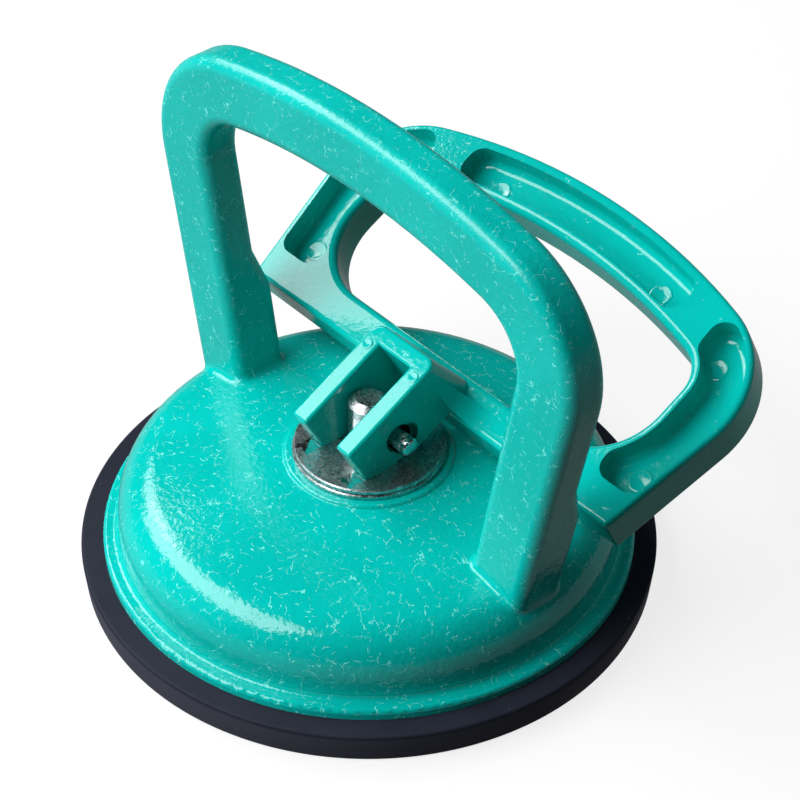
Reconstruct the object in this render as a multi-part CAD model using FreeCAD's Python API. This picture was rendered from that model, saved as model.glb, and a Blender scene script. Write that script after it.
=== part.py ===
# Single-cup vacuum lifter for floor tiles: cast body with a fixed arch handle,
# rubber suction disc, and a lever whose cam ears pull the middle of the disc up.
# Millimetres, +Z up. Origin: centre of the rubber's flat underside.
# X runs along the cross pin, the lever lies back towards +Y.
import FreeCAD, Part
import math
import os

V = FreeCAD.Vector
X, Y, Z = V(1, 0, 0), V(0, 1, 0), V(0, 0, 1)
ORIGIN = V(0, 0, 0)

# ---- rubber disc -----------------------------------------------------------
PAD_R = 60.0              # outer radius at the top edge
PAD_TAPER = 0.6           # the side leans in by this much at the bottom
PAD_T = 7.0               # thickness at the rim
PAD_EDGE = 0.8            # rounding of the outer edges
PAD_WEB = 3.4             # rubber left under the steel plate

# ---- steel plate, stud nut and post ---------------------------------------
PLATE_R = 32.0
PLATE_T = 2.5
PLATE_FIT = 1.0           # gap round the plate in the rubber
POST_R = 4.2
STUD_R = 3.9              # threaded lower end of the post
POST_TOP = 41.3
POST_CHAMFER = 1.4
NUT_AF = 15.0
NUT_T = 5.0
THREAD_FIT = 0.03         # radial, stud in nut and plate
SEAT_WASHER_R = 13.0
SEAT_WASHER_T = 1.0

# ---- lever geometry: s runs up the lever's face, n stands out of it ---------
PIN_Z = 36.2
PIN_R = 2.0
PIN_HALF = 12.8
PIN_CHAMFER = 0.5
PIN_RUN = 0.06            # radial, pin turning in the post
PIN_PRESS = 0.01          # radial, knurled pin held in the ears
TILT = 27.0               # rest angle of the lever above the horizontal
SWING = 63.0              # lever travel, ends upright against the arch
CAM_RISE = 4.0            # mm of lift for each radian of swing
CAM_FIT = 0.05            # gap between cam and washer

FORK_HALF = 8.8
SLOT_HALF = 4.6
SLOT_REAR_S = 11.4
EAR_FRONT_S = -10.4
EAR_TOP_N = 8.0
YOKE_REAR_S = 15.2
EAR_UNDER_N = -7.2
COUNTERBORE_R = 3.2
COUNTERBORE_DEPTH = 1.5
FORK_BLEND = 8.0          # rounding between fork and base bar
YOKE_ROUND = 2.5          # rear corners of the yoke
EAR_ROUND = 0.7           # other edges of the ears

# ---- body casting ----------------------------------------------------------
RIM_MARGIN = 4.8          # rubber showing outside the flange
RIM_R = PAD_R - RIM_MARGIN
RIM_H = 2.2
RIM_BEAD = 0.9
RIM_GROOVE = 0.5
RIM_W = 3.0               # flange outside the dome wall
DOME_R = RIM_R - RIM_W
DOME_DRAFT = 3.0
DOME_TOP = 27.6           # crown height on the axis
CROWN_R = 235.0
SHOULDER_R = 10.0
WALL = 3.6
SEAT_R = 17.4             # raised seat under the washers
SEAT_TOP = 27.6
SEAT_ROUND = 0.6
BOSS_R = 8.9
BOSS_BOTTOM = 16.0
BUSH_R = 6.2
BUSH_FIT = 0.02
POST_RUN = 0.06           # radial, post sliding in the bush
RIB_COUNT = 6
RIB_T = 3.0
RIB_BOTTOM = 17.0

WASHER_R = 15.4
BACKING_R = 15.7
WASHER_T = 1.1
WASHER_HOLE_FIT = 0.4
WASHER_EDGE = 0.25

ARCH_FRONT_Y = -5.2
ARCH_BACK_Y = 4.3
ARCH_INSET = 1.8          # arch inside the dome's foot, at ARCH_REF_Z
ARCH_HALF = DOME_R - ARCH_INSET
ARCH_LEAN = 10.8
ARCH_CROWN_Z = 107.5
ARCH_CROWN_R = 172.0
ARCH_CORNER_R = 25.5
LEG_W = 14.7              # width of each leg at ARCH_REF_Z
ARCH_IN_HALF = ARCH_HALF - LEG_W
ARCH_IN_LEAN = 10.1
GRIP_H = 14.3             # height of the bar the hand holds
ARCH_IN_CROWN_Z = ARCH_CROWN_Z - GRIP_H
ARCH_IN_CROWN_R = 153.0
ARCH_IN_CORNER_R = 12.0
ARCH_REF_Z = 25.0
ARCH_FOOT_Z = 12.0
ARCH_ROUND = 2.6
LEG_EXTRA = 3.0           # the legs are deeper at the back, low down
LEG_RAMP_TOP = 52.0
LEG_RAMP_FOOT = 43.0
FOOT_BLEND = 1.5          # rounding where the legs meet the dome

# ---- lever plate: width driven by the arch ----------------------------------
PLATE_N = -6.7            # lever face, below the pin
LEVER_T = 9.0
BAR_FRONT_S = 11.6        # front edge of the base bar
BAR_REAR_S = 20.3         # rear edge of the base bar, foot of the opening
LEVER_SPREAD = 3.3        # lever's front edge wider than the arch
LEVER_HALF = ARCH_HALF + LEVER_SPREAD
LEVER_LEAN = 9.5          # the sides lean out by this many degrees
LEVER_CROWN_S = 68.6
LEVER_CROWN_R = 152.0
LEVER_CORNER_R = 21.5
LEVER_FOOT_R = 1.0
LEVER_W = 8.5             # width of each side of the lever
GRIP_HALF = LEVER_HALF - LEVER_W
GRIP_CROWN_S = 55.6
GRIP_CROWN_R = 150.0
GRIP_CORNER_R = 8.0
GRIP_FOOT_R = 16.0
OUTER_ROUND = 1.1         # face edge round the outside
GRIP_ROUND = 1.6          # face edge round the hand opening
BACK_ROUND = 1.0
POCKET_DEPTH = 5.5
TOP_POCKET_RIM = 2.2      # lips left along the outer edge
WING_POCKET_RIM = 1.5
POCKET_LIP = 2.0          # lip left along the hand opening
POCKET_CORNER = 3.4
POCKET_FOOT_S = 19.3
POCKET_ROUND = 1.8        # rounding round the pocket floors
TOP_POCKET_INSET = 12.8   # ends of the top pocket inside the hand opening
TOP_POCKET_HALF = GRIP_HALF - TOP_POCKET_INSET
WING_POCKET_INSET = 3.7   # inner ends of the side pockets
WING_POCKET_HALF = GRIP_HALF - WING_POCKET_INSET
WING_POCKET_FLARE = 1.6   # their inner ends lean by this much at the foot

# ---- return spring ---------------------------------------------------------
SPRING_R = 10.75          # mean radius
WIRE_R = 1.05
SPRING_TURNS = 4
SPRING_STEPS = 12         # sections that shape each turn
SPRING_SEAT_GAP = 0.2

PLATE_TOP = PAD_WEB + PLATE_T
NUT_TOP = PLATE_TOP + NUT_T
STACK_TOP = SEAT_TOP + 2 * WASHER_T
CAM_FLAT = PIN_Z - STACK_TOP - CAM_FIT


def save(shape, node):
    shape.exportStep("parts/%s.step" % node)


def polygon(points):
    return Part.Face(Part.makePolygon([V(*p) for p in points + points[:1]]))


def revolve(profile_rz):
    """Solid of revolution about Z from (r, z) corners."""
    return polygon([(r, 0, z) for r, z in profile_rz]).revolve(ORIGIN, Z, 360)


def rod(radius, z0, z1):
    return Part.makeCylinder(radius, z1 - z0, V(0, 0, z0), Z)


def cross_rod(radius, x0, x1):
    """Cylinder along X at the pin's height in the lever's own frame."""
    return Part.makeCylinder(radius, x1 - x0, V(x0, 0, 0), X)


def ring(r_in, r_out, z0, z1):
    return rod(r_out, z0, z1).cut(rod(r_in, z0 - 1, z1 + 1))


def edges_where(shape, test):
    return [e for e in shape.Edges if test(e)]


def edges_on(shape, axis, value, tol=1e-4):
    """Edges lying wholly in the plane axis = value."""
    low, high = axis + "Min", axis + "Max"
    return edges_where(shape, lambda e: abs(getattr(e.BoundBox, low) - value) < tol
                       and abs(getattr(e.BoundBox, high) - value) < tol)


def edges_along(shape, direction):
    """Straight edges parallel to a direction."""
    def parallel(e):
        if not isinstance(e.Curve, Part.Line) or e.Length < 1e-6:
            return False
        return abs(abs(e.tangentAt(e.FirstParameter).dot(direction)) - 1) < 1e-6
    return edges_where(shape, parallel)


def crowned_face(half, lean, ref, crown, crown_r, corner_r, foot):
    """Face in the plane (x, height): leaning sides, rounded corners, arched crown."""
    slope = math.tan(math.radians(lean))
    length = math.hypot(1, slope)
    along = (slope / length, 1 / length)
    inward = (-1 / length, slope / length)
    hub = crown - crown_r
    bx, bz = half + inward[0] * corner_r, ref + inward[1] * corner_r
    run = bx * along[0] + (bz - hub) * along[1]
    rest = bx ** 2 + (bz - hub) ** 2 - (crown_r - corner_r) ** 2
    step = -run + math.sqrt(run ** 2 - rest)
    cx, cz = bx + along[0] * step, bz + along[1] * step
    start = (cx - inward[0] * corner_r, cz - inward[1] * corner_r)
    a0 = math.atan2(-inward[1], -inward[0])
    a1 = math.atan2(cz - hub, cx)
    mid = (a0 + a1) / 2

    def at(angle):
        return cx + corner_r * math.cos(angle), cz + corner_r * math.sin(angle)

    foot_x = half + (foot - ref) * slope
    right = [(foot_x, foot), start, at(mid), at(a1)]
    left = [(-x, z) for x, z in right]
    p = [V(x, 0, z) for x, z in right]
    q = [V(x, 0, z) for x, z in left]
    edges = [Part.makeLine(p[0], p[1]), Part.Arc(p[1], p[2], p[3]).toShape(),
             Part.Arc(p[3], V(0, 0, crown), q[3]).toShape(),
             Part.Arc(q[3], q[2], q[1]).toShape(), Part.makeLine(q[1], q[0]),
             Part.makeLine(q[0], p[0])]
    return Part.Face(Part.Wire(edges))


# ---- body casting ----------------------------------------------------------
def dome_profile(shrink):
    """(r, z) edges of the dome, from the foot of the wall to the axis."""
    draft = math.tan(math.radians(DOME_DRAFT))
    hub = DOME_TOP - CROWN_R
    corner = SHOULDER_R
    length = math.hypot(1, draft)
    along, inward = (-draft / length, 1 / length), (-1 / length, -draft / length)
    bx, bz = DOME_R + inward[0] * corner, PAD_T + inward[1] * corner
    run = bx * along[0] + (bz - hub) * along[1]
    rest = bx ** 2 + (bz - hub) ** 2 - (CROWN_R - corner) ** 2
    step = -run + math.sqrt(run ** 2 - rest)
    cx, cz = bx + along[0] * step, bz + along[1] * step
    r_c, r_t = corner - shrink, CROWN_R - shrink
    a0, a1 = math.atan2(-inward[1], -inward[0]), math.atan2(cz - hub, cx)

    def at(angle):
        return V(cx + r_c * math.cos(angle), 0, cz + r_c * math.sin(angle))

    foot = V(DOME_R + inward[0] * shrink, 0, PAD_T + inward[1] * shrink)
    foot.x += (PAD_T - foot.z) * -draft
    foot.z = PAD_T
    top = V(0, 0, hub + r_t)
    half = math.pi / 4 + a1 / 2
    crown_mid = V(r_t * math.cos(half), 0, hub + r_t * math.sin(half))
    edges = [Part.makeLine(foot, at(a0)), Part.Arc(at(a0), at((a0 + a1) / 2), at(a1)).toShape(),
             Part.Arc(at(a1), crown_mid, top).toShape(),
             Part.makeLine(top, V(0, 0, PAD_T)), Part.makeLine(V(0, 0, PAD_T), foot)]
    dome = Part.Face(Part.Wire(edges)).revolve(ORIGIN, Z, 360)
    dome.rotate(ORIGIN, Z, 90)
    return dome


def flange():
    rim = rod(RIM_R, PAD_T, PAD_T + RIM_H)
    rim = rim.makeFillet(RIM_BEAD, edges_on(rim, "Z", PAD_T + RIM_H))
    groove = Part.makeTorus(DOME_R, RIM_GROOVE, V(0, 0, PAD_T + RIM_H), Z)
    return rim.cut(groove)


def arch():
    outer = crowned_face(ARCH_HALF, ARCH_LEAN, ARCH_REF_Z, ARCH_CROWN_Z, ARCH_CROWN_R,
                         ARCH_CORNER_R, ARCH_FOOT_Z)
    inner = crowned_face(ARCH_IN_HALF, ARCH_IN_LEAN, ARCH_REF_Z, ARCH_IN_CROWN_Z,
                         ARCH_IN_CROWN_R, ARCH_IN_CORNER_R, ARCH_FOOT_Z)
    band = outer.cut(inner)
    deep = ARCH_BACK_Y + LEG_EXTRA
    solid = band.extrude(Y * (deep - ARCH_FRONT_Y))
    solid.translate(Y * ARCH_FRONT_Y)
    above = polygon([(0, ARCH_BACK_Y, LEG_RAMP_TOP), (0, deep, LEG_RAMP_FOOT),
                     (0, deep + 9, LEG_RAMP_FOOT), (0, deep + 9, ARCH_CROWN_Z + 9),
                     (0, ARCH_BACK_Y, ARCH_CROWN_Z + 9)])
    relief = above.extrude(X * 4 * ARCH_HALF)
    relief.translate(X * -2 * ARCH_HALF)
    solid = solid.cut(relief)
    across = edges_along(solid, Y) + edges_along(solid, X)
    drop = [e.hashCode() for e in across]
    rims = edges_where(solid, lambda e: e.hashCode() not in drop)
    return solid.makeFillet(ARCH_ROUND, rims)


def ribs():
    """Stiffening ribs under the crown, left clear of the spring."""
    start = SPRING_R + WIRE_R + 1.0
    out = []
    for i in range(RIB_COUNT):
        bar = Part.makeBox(DOME_R - start, RIB_T, DOME_TOP - RIB_BOTTOM,
                           V(start, -RIB_T / 2, RIB_BOTTOM))
        bar.rotate(ORIGIN, Z, 360.0 * (i + 0.5) / RIB_COUNT)
        out.append(bar)
    return out


def foot_edges(shell):
    """Edges where the legs run into the dome, above the flange."""
    def at_foot(e):
        box = e.BoundBox
        beside = abs(box.Center.x) > SEAT_R
        small = max(box.XLength, box.YLength) < DOME_R / 2
        return small and beside and box.ZMin > ARCH_FOOT_Z and box.ZMax < DOME_TOP
    return edges_where(shell, at_foot)


def body_casting():
    outer = dome_profile(0)
    shell = outer.fuse([flange(), arch()]).removeSplitter()
    shell = shell.makeFillet(FOOT_BLEND, foot_edges(shell))
    seat = rod(SEAT_R, SEAT_TOP - 3, SEAT_TOP)
    seat = seat.makeFillet(SEAT_ROUND, edges_on(seat, "Z", SEAT_TOP))
    shell = shell.fuse(seat)
    shell = shell.cut(dome_profile(WALL))
    inside = [rib.common(outer) for rib in ribs()] + [rod(BOSS_R, BOSS_BOTTOM, SEAT_TOP - 1)]
    shell = shell.fuse(inside).removeSplitter()
    return shell.cut(rod(BUSH_R + BUSH_FIT, 0, STACK_TOP))


def guide_bush():
    return ring(POST_R + POST_RUN, BUSH_R, BOSS_BOTTOM, SEAT_TOP)


def washer(radius, z0):
    disc = ring(POST_R + WASHER_HOLE_FIT, radius, z0, z0 + WASHER_T)
    rims = edges_where(disc, lambda e: e.BoundBox.XLength > radius
                       and e.BoundBox.ZLength < 1e-6)
    return disc.makeChamfer(WASHER_EDGE, rims)


# ---- rubber and what moves with the post -----------------------------------
def rubber_disc():
    recess = PLATE_R + PLATE_FIT
    low = PAD_R - PAD_TAPER
    pad = revolve([(0, 0), (low, 0), (PAD_R, PAD_T), (recess + PAD_T, PAD_T),
                   (recess, PAD_WEB), (0, PAD_WEB)])
    rims = edges_on(pad, "Z", 0) + edges_on(pad, "Z", PAD_T)
    outside = [e for e in rims if e.BoundBox.XLength > 2 * low - 1e-3]
    return pad.makeFillet(PAD_EDGE, outside)


def insert_plate():
    return ring(STUD_R + THREAD_FIT, PLATE_R, PAD_WEB, PLATE_TOP)


def stud_nut():
    corner = NUT_AF / math.sqrt(3)
    hexagon = polygon([(corner * math.cos(math.radians(60 * i)),
                        corner * math.sin(math.radians(60 * i)), PLATE_TOP) for i in range(6)])
    return hexagon.extrude(Z * NUT_T).cut(rod(STUD_R + THREAD_FIT, 0, NUT_TOP + 1))


def spring_washer():
    return ring(NUT_AF / math.sqrt(3) + 0.4, SEAT_WASHER_R, PLATE_TOP,
                PLATE_TOP + SEAT_WASHER_T)


def pull_post():
    top = rod(POST_R, NUT_TOP, POST_TOP)
    top = top.makeChamfer(POST_CHAMFER, edges_on(top, "Z", POST_TOP))
    post = top.fuse(rod(STUD_R, PAD_WEB, NUT_TOP + 1)).removeSplitter()
    hole = cross_rod(PIN_R + PIN_RUN, -PAD_R, PAD_R)
    hole.translate(Z * PIN_Z)
    return post.cut(hole)


def return_spring():
    """Open helix between its seat on the plate and the underside of the crown."""
    foot = PLATE_TOP + SEAT_WASHER_T + WIRE_R + SPRING_SEAT_GAP
    crown = math.sqrt((CROWN_R - WALL) ** 2 - (SPRING_R + WIRE_R) ** 2) + DOME_TOP - CROWN_R
    height = crown - WIRE_R - SPRING_SEAT_GAP - foot
    pitch = height / SPRING_TURNS

    def section(turns):
        angle = 2 * math.pi * turns
        centre = V(SPRING_R * math.cos(angle), SPRING_R * math.sin(angle), foot + pitch * turns)
        along = V(-2 * math.pi * centre.y, 2 * math.pi * centre.x, pitch)
        return Part.Wire([Part.makeCircle(WIRE_R, centre, along)])

    steps = range(SPRING_STEPS + 1)
    turns = [Part.makeLoft([section(turn + i / SPRING_STEPS) for i in steps], True)
             for turn in range(SPRING_TURNS)]
    return turns[0].fuse(turns[1:])


# ---- lever -----------------------------------------------------------------
def place(shape):
    """From the lever's own frame (x, s, n), pin at the origin, to its rest place."""
    shape.rotate(ORIGIN, X, TILT)
    shape.translate(Z * PIN_Z)
    return shape


def outline(inset):
    """The lever's outer shape in (x, s), drawn in by an even inset."""
    slope = math.radians(LEVER_LEAN)
    return crowned_face(LEVER_HALF - inset / math.cos(slope), LEVER_LEAN, BAR_FRONT_S,
                        LEVER_CROWN_S - inset, LEVER_CROWN_R - inset,
                        LEVER_CORNER_R - inset, BAR_FRONT_S + inset)


def opening(outset):
    return crowned_face(GRIP_HALF + outset, 0, GRIP_CROWN_S - 20, GRIP_CROWN_S + outset,
                        GRIP_CROWN_R + outset, GRIP_CORNER_R + outset, BAR_REAR_S - outset)


def slab(face, n_top, depth):
    """Extrude an (x, height) face down from n_top, in the lever's own frame."""
    solid = face.extrude(Y * depth)
    solid.rotate(ORIGIN, X, -90)
    solid.translate(Z * n_top)
    return solid


def hand_opening(n_top, depth, outset):
    hole = slab(opening(outset), n_top, depth)
    foot = [e for e in edges_along(hole, Z) if e.BoundBox.YMax < BAR_REAR_S + 1]
    return hole.makeFillet(GRIP_FOOT_R + outset, foot)


def pocket(clip, rim):
    """A recess in the lever's face: the ring between both lips, clipped, corners rounded."""
    band = slab(outline(rim), PLATE_N + 1, POCKET_DEPTH + 1)
    band = band.cut(hand_opening(PLATE_N + 2, POCKET_DEPTH + 3, POCKET_LIP))
    piece = band.common(clip)
    piece = piece.makeFillet(POCKET_CORNER, edges_along(piece, Z))
    floor = edges_on(piece, "Z", PLATE_N - POCKET_DEPTH, 1e-3)
    return piece.makeFillet(POCKET_ROUND, floor)


def lever_pockets():
    top = Part.makeBox(2 * TOP_POCKET_HALF, LEVER_CROWN_S, 40,
                       V(-TOP_POCKET_HALF, (GRIP_CROWN_S + BAR_REAR_S) / 2, -30))
    far = 2 * GRIP_HALF
    wing = polygon([(WING_POCKET_HALF + WING_POCKET_FLARE, POCKET_FOOT_S, -30),
                    (far, POCKET_FOOT_S, -30), (far, LEVER_CROWN_S, -30),
                    (WING_POCKET_HALF - WING_POCKET_FLARE / 2, LEVER_CROWN_S, -30)])
    wing = wing.extrude(Z * 40)
    wings = [wing, wing.mirror(ORIGIN, X)]
    return [pocket(top, TOP_POCKET_RIM)] + [pocket(clip, WING_POCKET_RIM) for clip in wings]


def in_grip(box):
    """True for an edge on the hand opening rather than on the lever's outside."""
    inside = abs(box.Center.x) < GRIP_HALF + 1
    return inside and BAR_REAR_S - 1 < box.Center.y < GRIP_CROWN_S + 1


def ring_plate():
    plate = slab(outline(0), PLATE_N, LEVER_T)
    feet = [e for e in edges_along(plate, Z) if e.BoundBox.YMax < BAR_FRONT_S + 1]
    plate = plate.makeFillet(LEVER_FOOT_R, feet)
    plate = plate.makeFillet(OUTER_ROUND, edges_on(plate, "Z", PLATE_N, 1e-3))
    plate = plate.makeFillet(BACK_ROUND, edges_on(plate, "Z", PLATE_N - LEVER_T, 1e-3))
    plate = plate.cut(hand_opening(PLATE_N + 1, LEVER_T + 2, 0))

    def grip_edges(n):
        return [e for e in edges_on(plate, "Z", n, 1e-3) if in_grip(e.BoundBox)]
    plate = plate.makeFillet(GRIP_ROUND, grip_edges(PLATE_N))
    return plate.makeFillet(BACK_ROUND, grip_edges(PLATE_N - LEVER_T))


def cam_point(turn):
    """Nose point that touches the washer when the lever has turned this far."""
    tilt = math.radians(TILT)
    reach = CAM_FLAT + CAM_RISE * turn
    y = -reach * math.sin(turn) - CAM_RISE * math.cos(turn)
    z = -reach * math.cos(turn) + CAM_RISE * math.sin(turn)
    return V(0, y * math.cos(tilt) + z * math.sin(tilt), -y * math.sin(tilt) + z * math.cos(tilt))


def cam_nose():
    """Points along the nose, from the end of the flat to the ear's front face."""
    low, high = 0.0, math.radians(90 - TILT)
    for _ in range(40):
        mid = (low + high) / 2
        if cam_point(mid).y > EAR_FRONT_S:
            low = mid
        else:
            high = mid
    return [cam_point(low * i / 12) for i in range(13)]


def ear_profile():
    """Side view of the ears, the yoke behind them and its slope to the base bar."""
    tilt = math.radians(TILT)
    nose = cam_nose()
    flat_y = (-EAR_UNDER_N - CAM_FLAT * math.cos(tilt)) / math.sin(tilt)
    flat_end = V(0, flat_y * math.cos(tilt) - CAM_FLAT * math.sin(tilt), EAR_UNDER_N)
    curve = Part.BSplineCurve()
    curve.interpolate(nose)
    corners = [nose[-1], V(0, EAR_FRONT_S, EAR_TOP_N), V(0, YOKE_REAR_S, EAR_TOP_N),
               V(0, BAR_REAR_S - 1, PLATE_N - 0.5), V(0, BAR_REAR_S - 1, EAR_UNDER_N - 4),
               V(0, BAR_FRONT_S + 1, EAR_UNDER_N - 4), V(0, BAR_FRONT_S + 1, EAR_UNDER_N),
               flat_end, nose[0]]
    edges = [Part.makeLine(a, b) for a, b in zip(corners, corners[1:])] + [curve.toShape()]
    return Part.Face(Part.Wire(edges))


def fork():
    """Two cam ears joined by the yoke, with the slot for the post between them."""
    block = ear_profile().extrude(X * 2 * FORK_HALF)
    block.translate(X * -FORK_HALF)
    height = EAR_TOP_N - EAR_UNDER_N + 6
    slot = Part.makeBox(2 * SLOT_HALF, SLOT_REAR_S - EAR_FRONT_S + 1, height,
                        V(-SLOT_HALF, EAR_FRONT_S - 1, EAR_UNDER_N - 5))
    block = block.cut(slot)

    def lean(e):
        box = e.BoundBox
        return box.XLength < 1e-6 and box.YMin > YOKE_REAR_S - 0.1 and box.ZLength > 9
    block = block.makeFillet(YOKE_ROUND, edges_where(block, lean))

    def exposed(e):
        box = e.BoundBox
        top = box.ZMin > EAR_TOP_N - 1e-4
        front = box.YMax < EAR_FRONT_S + 5 and box.ZMax > EAR_UNDER_N + 1 and box.XLength < 1e-6
        return top or front
    return block.makeFillet(EAR_ROUND, edges_where(block, exposed))


def fork_blend():
    """Concave shoulders from the fork's sides down to the base bar."""
    r = FORK_BLEND
    block = Part.makeBox(2 * (FORK_HALF + r), BAR_REAR_S - BAR_FRONT_S - 0.6, r + 1,
                         V(-FORK_HALF - r, BAR_FRONT_S + 0.3, PLATE_N - 1))
    for side in (-1, 1):
        block = block.cut(Part.makeCylinder(r, 2 * BAR_REAR_S,
                                            V(side * (FORK_HALF + r), 0, PLATE_N + r), Y))
    top, foot = YOKE_REAR_S - YOKE_ROUND, BAR_REAR_S - 1 - YOKE_ROUND
    far = 2 * (FORK_HALF + r)
    rear = polygon([(-far, top, EAR_TOP_N), (-far, foot, PLATE_N - 0.5),
                    (-far, BAR_REAR_S + r, PLATE_N - 0.5), (-far, BAR_REAR_S + r, EAR_TOP_N)])
    return block.cut(rear.extrude(X * 2 * far))


def lever():
    body = ring_plate().fuse([fork(), fork_blend()]).removeSplitter()
    body = body.cut(lever_pockets())
    body = body.cut(cross_rod(PIN_R + PIN_PRESS, -PAD_R, PAD_R))
    for side in (-1, 1):
        far = side * (FORK_HALF + 5)
        near = side * (FORK_HALF - COUNTERBORE_DEPTH)
        body = body.cut(cross_rod(COUNTERBORE_R, min(far, near), max(far, near)))
    return place(body)


def cross_pin():
    pin = cross_rod(PIN_R, -PIN_HALF, PIN_HALF)
    pin = pin.makeChamfer(PIN_CHAMFER, edges_where(pin, lambda e: e.BoundBox.XLength < 1e-6))
    pin.translate(Z * PIN_Z)
    return pin


os.makedirs("parts", exist_ok=True)
save(body_casting(), "body_casting")
save(guide_bush(), "guide_bush")
save(washer(BACKING_R, SEAT_TOP), "backing_washer")
save(washer(WASHER_R, SEAT_TOP + WASHER_T), "bearing_washer")
save(rubber_disc(), "rubber_suction_disc")
save(insert_plate(), "steel_insert_plate")
save(stud_nut(), "stud_nut")
save(spring_washer(), "spring_seat_washer")
save(pull_post(), "pull_post")
save(return_spring(), "return_spring")
save(cross_pin(), "cross_pin")
save(lever(), "lever_casting")
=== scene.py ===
# %% [markdown]
# # A single-cup suction lifter for floor tiles
# The tool is a cast aluminium dome with a fixed arch handle, standing on a thick
# rubber disc. A second casting, the lever, is hinged on a post in the middle:
# when it is swung up against the arch, its two ears press on a pair of washers
# and pull the middle of the rubber up, which makes the vacuum.
# The measured solids are loaded first, and everything in this script is placed
# from them. A model could also be dressed by eye, but then the dressed shape
# drifts from the working one, so only measured places are used here.

# %% Load the solids
import bmesh
import bpy
import math
from mathutils import Matrix, Vector


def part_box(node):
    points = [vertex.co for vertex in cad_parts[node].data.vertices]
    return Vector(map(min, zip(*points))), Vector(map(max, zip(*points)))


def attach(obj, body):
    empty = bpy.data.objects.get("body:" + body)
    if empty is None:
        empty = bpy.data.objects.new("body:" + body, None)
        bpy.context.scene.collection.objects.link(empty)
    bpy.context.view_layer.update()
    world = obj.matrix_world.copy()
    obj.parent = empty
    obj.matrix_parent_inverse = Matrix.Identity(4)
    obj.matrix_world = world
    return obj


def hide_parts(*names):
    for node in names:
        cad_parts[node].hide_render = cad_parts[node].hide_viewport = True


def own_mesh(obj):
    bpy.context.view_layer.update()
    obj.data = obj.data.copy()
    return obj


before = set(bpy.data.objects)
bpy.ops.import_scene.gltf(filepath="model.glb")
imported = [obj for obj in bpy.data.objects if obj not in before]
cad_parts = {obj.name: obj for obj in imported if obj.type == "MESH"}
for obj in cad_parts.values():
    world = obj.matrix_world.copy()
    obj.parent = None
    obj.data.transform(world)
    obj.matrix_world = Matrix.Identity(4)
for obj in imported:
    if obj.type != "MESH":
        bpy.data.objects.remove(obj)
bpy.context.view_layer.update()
MM = 0.001

# %% [markdown]
# ## The camera
# A product is easiest to judge through a long lens from about half a metre,
# because a short lens would swell the near side of the disc. The camera is
# given by the direction it looks from, its distance and a small sideways and
# upward step that centres the tool. Building its three axes by hand keeps the
# tiny roll exact, which a Track To constraint would remove.

# %% Camera
CAMERA_AZIMUTH = math.radians(48.399)
CAMERA_ELEVATION = math.radians(40.217)
CAMERA_ROLL = math.radians(0.521)
CAMERA_DISTANCE, STEP_RIGHT, STEP_UP = 512.043, 6.425, 30.929
FOCAL_LENGTH, SENSOR_WIDTH = 109.44, 36
NEAREST_SEEN = 0.01

towards = Vector((math.cos(CAMERA_ELEVATION) * math.sin(CAMERA_AZIMUTH),
                  -math.cos(CAMERA_ELEVATION) * math.cos(CAMERA_AZIMUTH),
                  math.sin(CAMERA_ELEVATION)))
level = Vector((math.cos(CAMERA_AZIMUTH), math.sin(CAMERA_AZIMUTH), 0))
upright = towards.cross(level)
right = math.cos(CAMERA_ROLL) * level + math.sin(CAMERA_ROLL) * upright
up = math.cos(CAMERA_ROLL) * upright - math.sin(CAMERA_ROLL) * level
place = (towards * CAMERA_DISTANCE + right * STEP_RIGHT + up * STEP_UP) * MM

lens = bpy.data.cameras.new("camera")
lens.lens = FOCAL_LENGTH
lens.sensor_width = SENSOR_WIDTH
lens.clip_start = NEAREST_SEEN
camera = bpy.data.objects.new("camera", lens)
camera.matrix_world = (Matrix.Translation(place)
                       @ Matrix((right, up, towards)).transposed().to_4x4())
bpy.context.scene.collection.objects.link(camera)
bpy.context.scene.camera = camera
bpy.context.scene.view_settings.view_transform = "Standard"
print("camera at", [round(v, 3) for v in place])

# %% [markdown]
# ## The studio
# Glossy enamel shows the shape of its lamps, so the lamps are chosen for their
# mirror images as much as for their light. One long softbox on the left, with a
# short one beyond its end, gives the pale streak on the dome's shoulder and the
# pale faces of the ears. Two dim ones fill the front and the back. They are
# hidden from mirror images, so that they add no second streak. The world adds
# only a trace of white, because more of it would flatten the shade between the
# ears. Point lamps would light the tool too, but they leave hard white dots.

# %% Lamps and world
TOOL_MIDDLE = Vector((0, 0, 0.03))
WORLD_GLOW = 0.02


def softbox(name, azimuth, elevation, distance, width, height, watts, roll=0.0, mirrored=True):
    """A rectangular area lamp that faces the tool from a direction given in degrees."""
    az, el = math.radians(azimuth), math.radians(elevation)
    away = Vector((math.cos(el) * math.sin(az), -math.cos(el) * math.cos(az), math.sin(el)))
    lamp = bpy.data.lights.new(name, "AREA")
    lamp.shape = "RECTANGLE"
    lamp.size, lamp.size_y, lamp.energy = width, height, watts
    box = bpy.data.objects.new(name, lamp)
    box.location = TOOL_MIDDLE + away * distance
    spin = Matrix.Rotation(math.radians(roll), 4, "Z")
    box.rotation_euler = (away.to_track_quat("Z", "Y").to_matrix().to_4x4() @ spin).to_euler()
    box.visible_glossy = mirrored
    bpy.context.scene.collection.objects.link(box)
    print(name, "glows at", round(watts / (math.pi * width * height), 2))


softbox("long_softbox", azimuth=-43, elevation=49, distance=1.25, width=1.68, height=0.62,
        watts=22.5, roll=17)
softbox("end_softbox", azimuth=-90, elevation=38, distance=1.25, width=0.32, height=0.46,
        watts=3.0)
softbox("front_fill", azimuth=-24, elevation=22, distance=1.30, width=0.7, height=0.6,
        watts=11.0, mirrored=False)
softbox("back_fill", azimuth=168, elevation=24, distance=1.30, width=0.8, height=0.6,
        watts=3.0, mirrored=False)

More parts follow.
